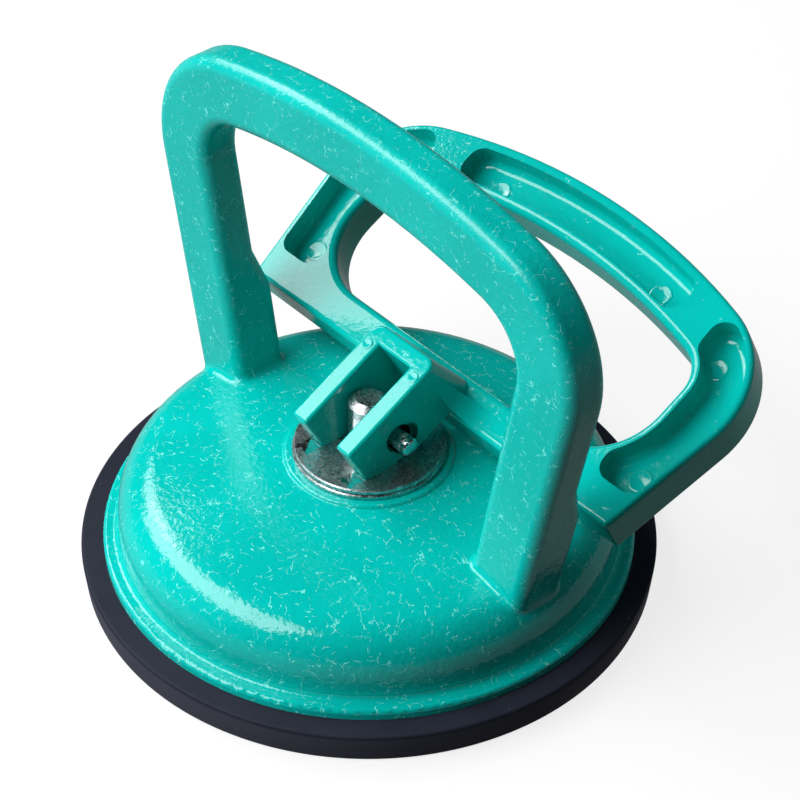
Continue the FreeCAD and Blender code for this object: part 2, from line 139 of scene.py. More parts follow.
world = bpy.data.worlds.new("studio")
bpy.context.scene.world = world
world.use_nodes = True
sky = world.node_tree.nodes["Background"].inputs
sky["Color"].default_value = (1, 1, 1, 1)
sky["Strength"].default_value = WORLD_GLOW

# %% [markdown]
# ## Helpers for node trees
# Materials are built from nodes in code. One small function adds a node, sets
# its options and fills its inputs, either with a value or with another node's
# output, so that each material below reads as a list of what feeds what.

# %% Node helpers


def add(tree, kind, sockets, **options):
    """Add a shader node; sockets maps input names to values or to other outputs."""
    item = tree.nodes.new("ShaderNode" + kind)
    for name, value in options.items():
        setattr(item, name, value)
    for name, value in sockets.items():
        if isinstance(value, bpy.types.NodeSocket):
            tree.links.new(value, item.inputs[name])
        else:
            item.inputs[name].default_value = value
    return item


def math_of(tree, operation, first, second):
    return add(tree, "Math", {0: first, 1: second}, operation=operation).outputs[0]


def ramp(tree, value, low, high, start=0.0, end=1.0):
    """A smooth step from one value to another while the input goes from low to high."""
    step = add(tree, "MapRange", {"Value": value, "From Min": low, "From Max": high,
                                  "To Min": start, "To Max": end},
               interpolation_type="SMOOTHSTEP")
    return step.outputs["Result"]


def between(tree, value, rise, fall):
    """One along a stretch and zero outside it; rise and fall are its soft ends."""
    return math_of(tree, "MULTIPLY", ramp(tree, value, *rise),
                   ramp(tree, value, *fall, 1.0, 0.0))


def mix_colour(tree, factor, first, second):
    return add(tree, "Mix", {0: factor, 6: first, 7: second}, data_type="RGBA").outputs[2]


def new_group(name, inputs, output):
    """An empty shader group with named number inputs, a vector and one output."""
    tree = bpy.data.node_groups.new(name, "ShaderNodeTree")
    tree.interface.new_socket("Vector", in_out="INPUT", socket_type="NodeSocketVector")
    for label, value in inputs.items():
        socket = tree.interface.new_socket(label, in_out="INPUT", socket_type="NodeSocketFloat")
        socket.default_value = value
    tree.interface.new_socket(output, in_out="OUTPUT", socket_type="NodeSocketFloat")
    return tree, tree.nodes.new("NodeGroupInput"), tree.nodes.new("NodeGroupOutput")


def use_group(tree, group, sockets):
    return add(tree, "Group", sockets, node_tree=group).outputs[0]


def in_cells(tree, vector, size):
    """Object coordinates counted in cells of a size in millimetres."""
    per_metre = math_of(tree, "DIVIDE", 1000.0, size)
    scaled = add(tree, "VectorMath", {"Vector": vector, "Scale": per_metre}, operation="SCALE")
    return scaled.outputs["Vector"]


# %% [markdown]
# ## The crackle in the enamel
# The teal finish is a crackle enamel: while it dries, the top coat tears into
# fine branching veins, and the paler coat under it shows. A picture of real
# paint could be wrapped round the tool, but it would smear on the curved
# shoulder. Voronoi cells give the branching: their walls meet in threes, as
# torn paint does. One noise bends the walls and another varies their width.
# Two more erase most of them, so that only short broken twigs are left.

# %% Crackle group
crackle, g_in, g_out = new_group(
    "crackle_veins", {"Spacing": 4.0, "Coverage": 0.5, "Width": 0.05}, "Veins")
cells = in_cells(crackle, g_in.outputs["Vector"], g_in.outputs["Spacing"])
wander = add(crackle, "TexNoise", {"Vector": cells, "Scale": 2.3, "Detail": 2.0,
                                   "Roughness": 0.6})
push = add(crackle, "VectorMath", {0: wander.outputs["Color"], 1: (0.5, 0.5, 0.5)},
           operation="SUBTRACT")
bent = add(crackle, "VectorMath", {0: push.outputs["Vector"], 1: (0.5, 0.5, 0.5), 2: cells},
           operation="MULTIPLY_ADD")
walls = add(crackle, "TexVoronoi", {"Vector": bent.outputs["Vector"], "Scale": 1.0},
            feature="DISTANCE_TO_EDGE")
uneven = add(crackle, "TexNoise", {"Vector": cells, "Scale": 2.7, "Detail": 1.0})
width = math_of(crackle, "MULTIPLY", g_in.outputs["Width"],
                ramp(crackle, uneven.outputs["Fac"], 0.3, 0.7, 0.35, 1.7))
inside = math_of(crackle, "DIVIDE", walls.outputs["Distance"], width)
line = ramp(crackle, inside, 0.45, 1.0, 1.0, 0.0)
where = add(crackle, "TexNoise", {"Vector": cells, "Scale": 1.7, "Detail": 0.0})
spread = math_of(crackle, "SUBTRACT", 1.0, g_in.outputs["Coverage"])
kept = math_of(crackle, "SUBTRACT", where.outputs["Fac"], spread)
patch = ramp(crackle, kept, -0.02, 0.03)
broken = add(crackle, "TexNoise", {"Vector": cells, "Scale": 3.0, "Detail": 1.0})
gaps = ramp(crackle, broken.outputs["Fac"], 0.42, 0.5)
veins = math_of(crackle, "MULTIPLY", math_of(crackle, "MULTIPLY", line, patch), gaps)
crackle.links.new(veins, g_out.inputs["Veins"])
print("crackle group has", len(crackle.nodes), "nodes")

# %% [markdown]
# ## Orange peel and specks
# Sprayed paint never dries quite flat: its skin has soft dimples a millimetre
# or two across, like an orange. It breaks the edge of every mirror image, and
# it is what tells the eye that a surface is paint and not plastic. A second
# group gives small sharp specks, used for grit in the paint, dust on the rubber
# and the pores of the bronze.

# %% Orange peel and speck groups
peel, g_in, g_out = new_group("orange_peel", {"Size": 2.0}, "Height")
cells = in_cells(peel, g_in.outputs["Vector"], g_in.outputs["Size"])
soft = add(peel, "TexNoise", {"Vector": cells, "Scale": 1.0, "Detail": 2.0, "Roughness": 0.55})
peel.links.new(soft.outputs["Fac"], g_out.inputs["Height"])

specks, g_in, g_out = new_group("fine_specks", {"Spacing": 1.0, "Radius": 0.2, "Share": 0.5},
                                "Specks")
cells = in_cells(specks, g_in.outputs["Vector"], g_in.outputs["Spacing"])
grit = add(specks, "TexVoronoi", {"Vector": cells, "Scale": 1.0})
spot = ramp(specks, math_of(specks, "DIVIDE", grit.outputs["Distance"],
                            g_in.outputs["Radius"]), 0.5, 1.0, 1.0, 0.0)
chosen = add(specks, "SeparateColor", {"Color": grit.outputs["Color"]})
lucky = math_of(specks, "LESS_THAN", chosen.outputs["Red"], g_in.outputs["Share"])
specks.links.new(math_of(specks, "MULTIPLY", spot, lucky), g_out.inputs["Specks"])
print("shared groups:", crackle.name, peel.name, specks.name)

# %% [markdown]
# ## A material to start from
# Every finish below starts the same way: a Principled shader and the object's
# own coordinates. Those coordinates turn with the lever when it swings, so the
# pattern is fixed to the metal. Numbers that are the same all over a surface
# are written on the shader itself, because exported models keep them there.

# %% New material helper


def new_material(name, **constants):
    material = bpy.data.materials.new(name)
    material.use_nodes = True
    tree = material.node_tree
    shader = tree.nodes["Principled BSDF"]
    for label, value in constants.items():
        shader.inputs[label.replace("_", " ")].default_value = value
    where_on_piece = tree.nodes.new("ShaderNodeTexCoord").outputs["Object"]
    return material, tree, shader, where_on_piece


def feed(tree, shader, colour, roughness, height, depth, strength=1.0):
    """Join colour, roughness and a bump's height to the shader; depth is in millimetres."""
    tree.links.new(colour, shader.inputs["Base Color"])
    tree.links.new(roughness, shader.inputs["Roughness"])
    bump = add(tree, "Bump", {"Height": height, "Distance": depth * MM, "Strength": strength})
    tree.links.new(bump.outputs["Normal"], shader.inputs["Normal"])


# %% [markdown]
# ## The enamel
# Body and lever were sprayed with the same teal, but the crackle formed well
# only on the open dome and arch. On the lever it is rare and short. So one
# function makes both finishes, with different amounts of crackle. Two sizes of
# vein are laid over each other, because one size alone looks like a net.
# The gloss is that of a single layer: a clear coat on top would lie perfectly
# flat over the orange peel and give the streaks smooth edges. On the body the
# gloss fades above the dome, where hands have dulled the arch.

# %% Teal enamel
TEAL, TEAL_DEEP = (0.0008, 0.480, 0.432, 1), (0.0004, 0.428, 0.384, 1)
VEIN_PALE = (0.14, 0.72, 0.66, 1)
PIN_PIT_SHADE = (0.0010, 0.0016, 0.0018, 1)
LONG_VEIN = {"Spacing": 5.0, "Width": 0.014}
SHORT_VEIN = {"Spacing": 2.9, "Width": 0.020}
GRIT_DOT = {"Spacing": 2.2, "Radius": 0.085}
PEEL_SIZE, VEIN_RIDGE = 1.2, 0.35
GLOSSY, VEIN_ROUGH, HAND_DULLED = 0.08, 0.26, 0.17
PIT_SHADE_Y, PIT_SHADE_Z = 0.0018, 0.0352
PIT_SHADE_EDGE, PIT_SHADE_RAGGED = (0.0035, 0.0043), 0.0008
EAR_OUTSIDE = (0.0068, 0.0071)


def shade_in_pin_pit(tree, at):
    """Painted shade: a dark patch on the outside of each ear, in the pit where the pin comes
    out.
    """
    spot = add(tree, "SeparateXYZ", {"Vector": at})
    from_pin = add(tree, "VectorMath", {0: at, 1: (0, -PIT_SHADE_Y, -PIT_SHADE_Z)}, operation="ADD")
    flat = add(tree, "VectorMath", {0: from_pin.outputs["Vector"], 1: (0, 1, 1)},
               operation="MULTIPLY")
    distance = add(tree, "VectorMath", {0: flat.outputs["Vector"]}, operation="LENGTH")
    ragged = add(tree, "TexNoise", {"Vector": at, "Scale": 900.0, "Detail": 3.0})
    reach = math_of(tree, "ADD", distance.outputs["Value"],
                    math_of(tree, "MULTIPLY", ragged.outputs["Fac"], PIT_SHADE_RAGGED))
    outside = ramp(tree, math_of(tree, "ABSOLUTE", spot.outputs["X"], 0.0), *EAR_OUTSIDE)
    return math_of(tree, "MULTIPLY", outside, ramp(tree, reach, *PIT_SHADE_EDGE, 1.0, 0.0))


def enamel(name, coarse, fine, grit, peel_depth, dull_above=None, pin_pit_shaded=False):
    """Teal paint with shares of long veins, short veins and grit, and its peel's depth."""
    material, tree, shader, at = new_material(name, IOR=1.5, Specular_IOR_Level=0.46)
    cloud = add(tree, "TexNoise", {"Vector": at, "Scale": 38.0, "Detail": 3.0})
    colour = mix_colour(tree, ramp(tree, cloud.outputs["Fac"], 0.35, 0.65), TEAL, TEAL_DEEP)
    long_veins = use_group(tree, crackle, {"Vector": at, "Coverage": coarse, **LONG_VEIN})
    short_veins = use_group(tree, crackle, {"Vector": at, "Coverage": fine, **SHORT_VEIN})
    all_veins = math_of(tree, "MAXIMUM", long_veins, short_veins)
    dots = use_group(tree, specks, {"Vector": at, "Share": grit, **GRIT_DOT})
    pale = math_of(tree, "MAXIMUM", all_veins, dots)
    colour = mix_colour(tree, pale, colour, VEIN_PALE)
    skin = use_group(tree, peel, {"Vector": at, "Size": PEEL_SIZE})
    height = math_of(tree, "ADD", skin, math_of(tree, "MULTIPLY", pale, VEIN_RIDGE))
    rough = ramp(tree, pale, 0.0, 1.0, GLOSSY, VEIN_ROUGH)
    if dull_above:
        up = add(tree, "SeparateXYZ", {"Vector": at}).outputs["Z"]
        rough = math_of(tree, "ADD", rough, ramp(tree, up, *dull_above, 0.0, HAND_DULLED))
    # Painted shade: the pit round the pin on each ear is darkened.
    if pin_pit_shaded:
        colour = mix_colour(tree, shade_in_pin_pit(tree, at), colour, PIN_PIT_SHADE)
    feed(tree, shader, colour, rough, height, depth=peel_depth)
    return material


crackle_enamel = enamel("crackle_enamel", coarse=0.475, fine=0.46, grit=0.06, peel_depth=0.10,
                        dull_above=(0.028, 0.040))
# The lever's enamel carries painted shade in the pits round the pin.
lever_enamel = enamel("lever_enamel", coarse=0.24, fine=0.29, grit=0.22, peel_depth=0.05,
                      pin_pit_shaded=True)
print("enamel finishes:", crackle_enamel.name, lever_enamel.name)

# %% [markdown]
# ## The rubber
# The disc is moulded in black rubber with a faint blue cast. It is matte, its
# skin carries the fine grain of the mould, and pale dust sits on it in dots.
# Its side is painted a lighter grey than its shoulder, as painted light. A mirror-smooth black
# would look like glass, so the grain is bumped and the gloss varies slowly
# over the surface.

# %% Black rubber
RUBBER, RUBBER_BLOOM = (0.0125, 0.0150, 0.0255, 1), (0.0180, 0.0210, 0.0335, 1)
RUBBER_PAINTED_LIT_SIDE = (0.0420, 0.0450, 0.0660, 1)
DUST, DUST_SHARE = (0.30, 0.32, 0.34, 1), 0.5
DISC_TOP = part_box("rubber_suction_disc")[1][2]
PAINTED_LIGHT_EDGE = (DISC_TOP - 0.0012, DISC_TOP - 0.0004)
black_rubber, tree, shader, at = new_material("black_rubber", IOR=1.5, Specular_IOR_Level=0.12)
cloud = add(tree, "TexNoise", {"Vector": at, "Scale": 55.0, "Detail": 4.0, "Roughness": 0.6})
grain = add(tree, "TexNoise", {"Vector": at, "Scale": 2600.0, "Detail": 2.0})
colour = mix_colour(tree, ramp(tree, cloud.outputs["Fac"], 0.3, 0.7), RUBBER, RUBBER_BLOOM)
up = add(tree, "SeparateXYZ", {"Vector": at}).outputs["Z"]
# Painted light: the side below the shoulder is painted a lighter grey than the top.
colour = mix_colour(tree, ramp(tree, up, *PAINTED_LIGHT_EDGE, 1.0, 0.0), colour, RUBBER_PAINTED_LIT_SIDE)
dust = use_group(tree, specks, {"Vector": at, "Spacing": 2.6, "Radius": 0.06, "Share": 0.22})
colour = mix_colour(tree, math_of(tree, "MULTIPLY", dust, DUST_SHARE), colour, DUST)
feed(tree, shader, colour, ramp(tree, cloud.outputs["Fac"], 0.3, 0.7, 0.50, 0.62),
     grain.outputs["Fac"], depth=0.03, strength=0.6)
print("rubber nodes:", len(tree.nodes))

# %% [markdown]
# ## The plated steel
# Post, pin and washers are steel with bright zinc. Zinc grows in tiny crystals
# that each mirror a little differently, which the eye reads as grey speckle.
# Handling leaves darker stains, most of all on the upper washer, but where the
# lever's ears slide on it the plating is rubbed as bright as a mirror. A bare
# metal shader shows only its base colour and its gloss, so the speckle and the
# stains go into both.

# %% Zinc plate
CRYSTAL_DARK, CRYSTAL_PALE = (0.40, 0.44, 0.45, 1), (0.74, 0.79, 0.80, 1)
ZINC_STAIN, ZINC_RUBBED = (0.20, 0.23, 0.24, 1), (0.80, 0.82, 0.81, 1)
RUBBED_ROUGH, CRYSTAL_ROUGH, STAIN_ROUGH = 0.07, 0.12, 0.12
EAR_TRACK_X = ((0.0046, 0.0052), (0.0082, 0.0088))
EAR_TRACK_Y = ((-0.0128, -0.0118), (0.0, 0.004))


def zinc(name, stain_share, smooth, rub_marks=False):
    """Zinc plate with a share of stain and the roughness of its smoothest crystals."""
    material, tree, shader, at = new_material(name, Metallic=1.0)
    crystal = add(tree, "TexVoronoi", {"Vector": at, "Scale": 3000.0})
    tint = add(tree, "SeparateColor", {"Color": crystal.outputs["Color"]}).outputs["Red"]
    stain = add(tree, "TexNoise", {"Vector": at, "Scale": 900.0, "Detail": 4.0,
                                   "Roughness": 0.7})
    stained = ramp(tree, stain.outputs["Fac"], 0.40, 0.62)
    colour = mix_colour(tree, tint, CRYSTAL_DARK, CRYSTAL_PALE)
    colour = mix_colour(tree, math_of(tree, "MULTIPLY", stained, stain_share), colour,
                        ZINC_STAIN)
    rough = math_of(tree, "ADD", ramp(tree, tint, 0.0, 1.0, smooth, smooth + CRYSTAL_ROUGH),
                    math_of(tree, "MULTIPLY", stained, STAIN_ROUGH))
    height = tint
    if rub_marks:
        spot = add(tree, "SeparateXYZ", {"Vector": at})
        side = math_of(tree, "ABSOLUTE", spot.outputs["X"], 0.0)
        track = math_of(tree, "MULTIPLY", between(tree, side, *EAR_TRACK_X),
                        between(tree, spot.outputs["Y"], *EAR_TRACK_Y))
        rubbed = math_of(tree, "MULTIPLY", track,
                         ramp(tree, stain.outputs["Fac"], 0.62, 0.5))
        colour = mix_colour(tree, rubbed, colour, ZINC_RUBBED)
        rough = add(tree, "Mix", {0: rubbed, 2: rough, 3: RUBBED_ROUGH}).outputs[0]
        height = math_of(tree, "MULTIPLY", tint, math_of(tree, "SUBTRACT", 1.0, rubbed))
    feed(tree, shader, colour, rough, height, depth=0.02, strength=0.08)
    return material


zinc_plate = zinc("zinc_plate", stain_share=0.42, smooth=0.20)
rubbed_zinc = zinc("rubbed_zinc", stain_share=0.6, smooth=0.27, rub_marks=True)
bright_zinc = zinc("bright_zinc", stain_share=0.25, smooth=0.08)
print("zinc finishes:", zinc_plate.name, rubbed_zinc.name, bright_zinc.name)

# %% [markdown]
# ## The hidden metals
# Inside the dome are a drawn steel spring, a pressed steel plate moulded on to
# the rubber and a sintered bronze bush. Nobody sees them from outside, but the
# model can be taken apart, so each gets the finish it has in a workshop: wire
# keeps long draw marks, sintered bronze is full of pores.

# %% Spring steel and bronze
WIRE_DARK, WIRE_PALE = (0.30, 0.30, 0.32, 1), (0.55, 0.55, 0.58, 1)
BRONZE, BRONZE_TARNISHED = (0.60, 0.40, 0.20, 1), (0.42, 0.27, 0.13, 1)
BRONZE_PORE = (0.16, 0.10, 0.05, 1)
spring_wire, tree, shader, at = new_material("spring_wire", Metallic=1.0)
drawn = add(tree, "Mapping", {"Vector": at, "Scale": (1.0, 1.0, 9.0)})
scratch = add(tree, "TexNoise", {"Vector": drawn.outputs["Vector"], "Scale": 700.0,
                                 "Detail": 3.0})
colour = mix_colour(tree, scratch.outputs["Fac"], WIRE_DARK, WIRE_PALE)
feed(tree, shader, colour, ramp(tree, scratch.outputs["Fac"], 0.3, 0.7, 0.24, 0.42),
     scratch.outputs["Fac"], depth=0.02, strength=0.4)

sintered_bronze, tree, shader, at = new_material("sintered_bronze", Metallic=1.0)
pores = use_group(tree, specks, {"Vector": at, "Spacing": 0.5, "Radius": 0.3, "Share": 0.6})
tarnish = add(tree, "TexNoise", {"Vector": at, "Scale": 160.0, "Detail": 4.0})
colour = mix_colour(tree, tarnish.outputs["Fac"], BRONZE, BRONZE_TARNISHED)
colour = mix_colour(tree, pores, colour, BRONZE_PORE)
feed(tree, shader, colour, ramp(tree, pores, 0.0, 1.0, 0.34, 0.6),
     math_of(tree, "SUBTRACT", 1.0, pores), depth=0.03, strength=0.5)
print("hidden metals:", spring_wire.name, sintered_bronze.name)

# %% [markdown]
# ## Finishes for the measured solids
# The castings, the washers, the post and the inner pieces already have their
# true shapes, so they stay, and only their material slots change. The rubber
# disc, the pin and the spring get new shapes further down.

# %% Dress the solids
FINISHES = {
    "body_casting": crackle_enamel, "lever_casting": lever_enamel,
    "bearing_washer": rubbed_zinc, "backing_washer": zinc_plate, "pull_post": zinc_plate,
    "stud_nut": zinc_plate, "spring_seat_washer": zinc_plate,
    "steel_insert_plate": zinc_plate, "guide_bush": sintered_bronze,
}
for node, finish in FINISHES.items():
    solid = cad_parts[node]
    solid.data.materials.clear()
    solid.data.materials.append(finish)
print("dressed", len(FINISHES), "solids")

# %% [markdown]
# ## Helpers for new pieces
# A few pieces carry detail that the plain solids leave out. Round ones are
# made as on a lathe: the outline of the cut is drawn as a wire, its corners
# are rounded, and it is spun about the axis. Cylinders stacked on each other
# would be quicker, but their corners would stay razor sharp, and it is the
# small roundings that catch the light.

# %% Lathe and finishing helpers
TOUCHING = 1e-7


def finish_piece(name, bm, body, material, sharp_above=32):
    """Turn a bmesh into a piece of the tool that rides on one of its bodies."""
    bmesh.ops.remove_doubles(bm, verts=bm.verts, dist=TOUCHING)
    bmesh.ops.recalc_face_normals(bm, faces=bm.faces)
    mesh = bpy.data.meshes.new(name)
    bm.to_mesh(mesh)
    open_edges = sum(not edge.is_manifold for edge in bm.edges)
    bm.free()
    mesh.shade_smooth()
    mesh.set_sharp_from_angle(angle=math.radians(sharp_above))
    mesh.materials.append(material)
    piece = bpy.data.objects.new(name, mesh)
    bpy.context.scene.collection.objects.link(piece)
    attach(piece, body)
    print(name, "has", len(mesh.polygons), "faces and", open_edges, "open edges")
    return piece


def lathe(outline, steps=160, corner_segments=4):
    """Spin (radius, height, rounding) rows about Z, in millimetres.

    An outline that starts off the axis is closed on itself and makes a ring."""
    bm = bmesh.new()
    corners = [bm.verts.new((r * MM, 0, z * MM)) for r, z, _ in outline]
    for pair in zip(corners, corners[1:]):
        bm.edges.new(pair)
    if outline[0][0] > 0:
        bm.edges.new((corners[-1], corners[0]))
    for corner, (_, _, rounding) in zip(corners, outline):
        if rounding:
            bmesh.ops.bevel(bm, geom=[corner], offset=rounding * MM, affect="VERTICES",
                            segments=corner_segments, profile=0.5, material=-1,
                            offset_type="OFFSET")
    bmesh.ops.spin(bm, geom=bm.verts[:] + bm.edges[:], cent=(0, 0, 0), axis=(0, 0, 1),
                   angle=2 * math.pi, steps=steps, use_merge=True)
    return bm


# %% [markdown]
# ## The suction disc
# The disc is one moulding. From above only its black shoulder shows, but its
# underside is what works: a broad sealing lip runs round the edge, two shallow
# grooves behind it stop leaks, and the middle is drawn back a little so that
# it lifts first. The outline is turned on the lathe from underside to recess.

# %% Suction disc
pad_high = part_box("rubber_suction_disc")[1]
PAD_R, PAD_TOP = pad_high[0] / MM, pad_high[2] / MM
plate_low, plate_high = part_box("steel_insert_plate")
PLATE_FLOOR, PLATE_GAP = plate_low[2] / MM, 1.0
RECESS_R = plate_high[0] / MM + PLATE_GAP
MIDDLE_UP, LAND_UP, GROOVE_UP = 0.7, 0.25, 0.8
pad_outline = [
    (0, MIDDLE_UP, 0), (38.0, MIDDLE_UP, 0.5),                 # middle, drawn back
    (39.2, LAND_UP, 0.3), (43.0, LAND_UP, 0.3),                # inner land
    (43.6, GROOVE_UP, 0.2), (44.8, GROOVE_UP, 0.2),            # inner groove
    (45.4, LAND_UP, 0.3), (48.0, LAND_UP, 0.3),                # land between the grooves
    (48.6, GROOVE_UP, 0.2), (49.8, GROOVE_UP, 0.2),            # outer groove
    (50.6, 0.0, 0.4), (PAD_R - 0.6, 0.0, 0.8),                 # sealing lip
    (PAD_R - 0.02, PAD_TOP, 0.7), (RECESS_R + PAD_TOP, PAD_TOP, 0.4),      # side, shoulder
    (RECESS_R, PLATE_FLOOR, 0.3), (0, PLATE_FLOOR, 0)]         # recess for the steel plate
disc = finish_piece("suction_disc", lathe(pad_outline, steps=192), "body",
                    black_rubber)
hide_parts("rubber_suction_disc")

# %% [markdown]
# ## The return spring
# A coil of wire under the dome pushes the disc flat again, and it gets shorter
# as the post rises. The round section of the wire is spun about the post's axis
# with a small lift at every step, which makes the coil in one call. The spring
# is held at its top.

# %% Return spring
SPRING_TURNS, STEPS_PER_TURN = 4, 40
WIRE_R = 1.05 * MM
spring_low, spring_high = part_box("return_spring")
coil = bmesh.new()
wire_start = Matrix.Translation((spring_high[0] - WIRE_R, 0, spring_low[2] + WIRE_R))
bmesh.ops.create_circle(coil, cap_ends=False, segments=20, radius=WIRE_R,
                        matrix=wire_start @ Matrix.Rotation(math.pi / 2, 4, "X"))
coil_steps = SPRING_TURNS * STEPS_PER_TURN
step_up = (spring_high[2] - spring_low[2] - 2 * WIRE_R) / coil_steps
bmesh.ops.spin(coil, geom=coil.verts[:] + coil.edges[:], cent=(0, 0, 0), axis=(0, 0, 1),
               dvec=(0, 0, step_up), angle=2 * math.pi * SPRING_TURNS, steps=coil_steps)
bmesh.ops.holes_fill(coil, edges=[e for e in coil.edges if e.is_boundary])
spring = finish_piece("coil_spring", coil, "body", spring_wire)
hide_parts("return_spring")
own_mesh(spring)

# %% [markdown]
# ## The cross pin
# The pin that joins lever and post is knurled near its ends, where it bites
# into the ears, and turned smooth at the tips. The knurl is a circle of points
# with every second one drawn in, pushed out along the pin: that gives real
# splines with flanks, where a bump map would leave the outline round.

# %% Cross pin
pin_low, pin_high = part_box("cross_pin")
PIN_AXIS_Z = (pin_low[2] + pin_high[2]) / 2
PIN_END = pin_high[0]
PIN_RADIUS = (pin_high[2] - pin_low[2]) / 2
SPLINES = 20
PLAIN_SHARE, VALLEY_SHARE, GROOVE_SHARE = 0.99, 0.88, 0.86
KNURL_FROM, KNURL_TO = 5.0 * MM, 10.9 * MM
SPLINE_START, SPLINE_END, GROOVE_STEP = 0.1 * MM, 0.2 * MM, 0.12 * MM
TIP_STEPS = ((0.08 * MM, 0.95), (0.22 * MM, 0.87), (0.02 * MM, 0.85))


def pin_section(bm, ring, step, scale=1.0):
    """Grow the pin by one step along its axis, with its far end scaled."""
    grown = bmesh.ops.extrude_edge_only(bm, edges=ring)["geom"]
    verts = [g for g in grown if isinstance(g, bmesh.types.BMVert)]
    bmesh.ops.translate(bm, verts=verts, vec=(step, 0, 0))
    bmesh.ops.scale(bm, verts=verts, vec=(1, scale, scale))
    return [g for g in grown if isinstance(g, bmesh.types.BMEdge)
            and all(v in verts for v in g.verts)], verts


def scale_every_second(bm, verts, share):
    """Draw every second point of a section in, or let it out again."""
    around = sorted(verts, key=lambda v: math.atan2(v.co.z, v.co.y))
    bmesh.ops.scale(bm, verts=around[::2], vec=(1, share, share))


def half_pin():
    """The pin from its middle to its right tip, lying along X."""
    bm = bmesh.new()
    bmesh.ops.create_circle(bm, segments=2 * SPLINES, radius=PIN_RADIUS * PLAIN_SHARE,
                            matrix=Matrix.Rotation(math.pi / 2, 4, "Y"))
    ring, verts = pin_section(bm, bm.edges[:], KNURL_FROM)
    ring, verts = pin_section(bm, ring, SPLINE_START)
    scale_every_second(bm, verts, VALLEY_SHARE)
    ring, verts = pin_section(bm, ring, KNURL_TO - KNURL_FROM)
    ring, verts = pin_section(bm, ring, SPLINE_END, GROOVE_SHARE)
    scale_every_second(bm, verts, 1 / VALLEY_SHARE)
    ring, verts = pin_section(bm, ring, GROOVE_STEP)
    ring, verts = pin_section(bm, ring, GROOVE_STEP, 1 / GROOVE_SHARE)
    tip_length = sum(step for step, share in TIP_STEPS)
    ring, verts = pin_section(bm, ring, PIN_END - verts[0].co.x - tip_length)
    last_share = 1
    for step, share in TIP_STEPS:
        ring, verts = pin_section(bm, ring, step, share / last_share)
        last_share = share
    bmesh.ops.contextual_create(bm, geom=ring)
    return bm


pin = half_pin()
bmesh.ops.mirror(pin, geom=pin.verts[:] + pin.edges[:] + pin.faces[:], axis="X",
                 merge_dist=1e-6)
bmesh.ops.translate(pin, verts=pin.verts, vec=(0, 0, PIN_AXIS_Z))
new_pin = finish_piece("knurled_cross_pin", pin, "lever", bright_zinc,
                       sharp_above=28)
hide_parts("cross_pin")

# %% [markdown]
# ## Marks of the casting die
# Round pins push a casting out of its die and leave flat discs with a small
# raised rim on the floors of the pockets. The tops of the ears carry two small
# dimples. They lie in the lever's own sloping plane, so each is made flat and
# then turned and moved with the same slope.

# %% Ejector marks and dimples
LEVER_SLOPE = math.radians(27)
POCKET_FLOOR_N, EAR_TOP_N = -12.2, 8.0
POCKET_MARKS = ((23.9, 58.4), (45.3, 51.7), (49.3, 24.4))
MARK_RADIUS, MARK_RISE = 2.5, 0.08
DIMPLE_X, DIMPLE_S = 6.9, 10.1
DIMPLE_RADIUS, DIMPLE_RISE = 1.25, 0.10
SUNK = 0.1
RIM_STEPS = ((0.16, 0.05), (0.24, 0.0), (0.26, -0.06))
lever_frame = Matrix.Translation((0, 0, PIN_AXIS_Z)) @ Matrix.Rotation(LEVER_SLOPE, 4, "X")
lever_normal = (lever_frame.to_3x3() @ Vector((0, 0, 1))).normalized()


def die_mark(bm, x, s, n, radius, rise):
    """A low raised ring round a flat disc, set on the lever's face at (x, s, n)."""
    circle = bmesh.ops.create_circle(bm, cap_ends=True, segments=40, radius=radius * MM)["verts"]
    at = Matrix.Translation((x * MM, s * MM, (n - SUNK) * MM))
    bmesh.ops.transform(bm, matrix=lever_frame @ at, verts=circle)
    grown = bmesh.ops.extrude_face_region(bm, geom=circle[0].link_faces[:])["geom"]
    top = [g for g in grown if isinstance(g, bmesh.types.BMVert)]
    bmesh.ops.translate(bm, verts=top, vec=lever_normal * (SUNK + rise) * MM)
    cap = [g for g in grown if isinstance(g, bmesh.types.BMFace)]
    for width, height in RIM_STEPS:
        bmesh.ops.inset_region(bm, faces=cap, thickness=width * MM, depth=height * MM)


marks = bmesh.new()
for side in (-1, 1):
    for x, s in POCKET_MARKS:
        die_mark(marks, side * x, s, POCKET_FLOOR_N, MARK_RADIUS, MARK_RISE)
    die_mark(marks, side * DIMPLE_X, DIMPLE_S, EAR_TOP_N, DIMPLE_RADIUS, DIMPLE_RISE)
finish_piece("ejector_marks", marks, "lever", lever_enamel, sharp_above=60)

# %% [markdown]
# ## The noses of the ears
# The solid lever has a nose shaped by its motion: it rolls on the washer without
# a gap. The cast part has a plainer one, a square corner with a small rounding
# at the front foot of each ear. It is made from a block, sliced off parallel to
# the washer, with its front edges bevelled, and it slips over the solid's nose
# with two hundredths of a millimetre to spare, so the join can't be seen.

# %% Ear noses
EAR_FRONT_S, EAR_IN, EAR_OUT = -10.42, 4.58, 8.82
NOSE_BACK_S, NOSE_TOP_N, NOSE_LOW_N = -3.0, 3.0, -9.0
FOOT_BELOW_PIN = 6.36
EAR_ROUNDING = 0.75
HAIR = 0.01


